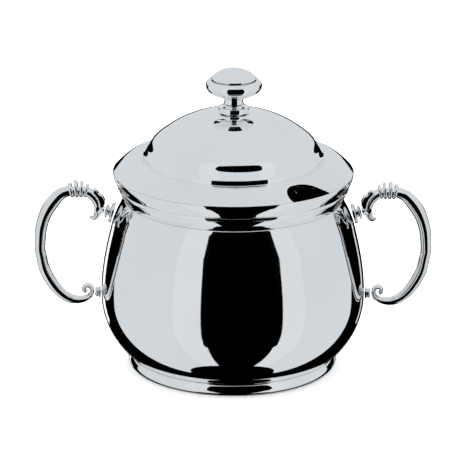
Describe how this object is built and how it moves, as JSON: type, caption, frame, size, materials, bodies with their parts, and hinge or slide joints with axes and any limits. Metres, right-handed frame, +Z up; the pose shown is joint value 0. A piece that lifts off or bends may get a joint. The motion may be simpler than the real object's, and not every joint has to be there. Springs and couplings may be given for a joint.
{
  "type": "sugar bowl",
  "caption": "Round covered sugar bowl with a ring foot, flared collar, two scroll handles and a lift-off domed lid with a turned knob and a spoon notch.",
  "frame": {"origin": "centre of the foot ring's flat underside, on the bowl's axis", "axes": "+Z up along the bowl's axis, +X through the right-hand handle, -Y towards the front"},
  "size_m": [0.1452, 0.0958, 0.1116],
  "materials": {
    "polished_silver": "mirror polish",
    "cast_silver": "polished casting, slightly soft in the hollows",
    "steel": "plain turned steel"
  },
  "bodies": {
    "bowl": {"bowl_shell": "polished_silver", "foot_ring": "polished_silver", "neck_ring": "polished_silver", "mouth_collar": "polished_silver", "left_handle": "cast_silver", "right_handle": "cast_silver", "left_upper_boss": "cast_silver", "right_upper_boss": "cast_silver", "left_lower_boss": "cast_silver", "right_lower_boss": "cast_silver"},
    "lid": {"lid_shell": "polished_silver", "lid_bezel": "polished_silver", "knob_base": "polished_silver", "knob_stem": "polished_silver", "knob_bun": "polished_silver", "knob_cap": "polished_silver", "knob_washer": "steel", "knob_screw": "steel"}
  },
  "joints": [
    {"name": "lid_lift", "type": "slide", "parent": "bowl", "child": "lid", "axis": [0, 0, 1], "range_m": [0, 0.06]}
  ]
}
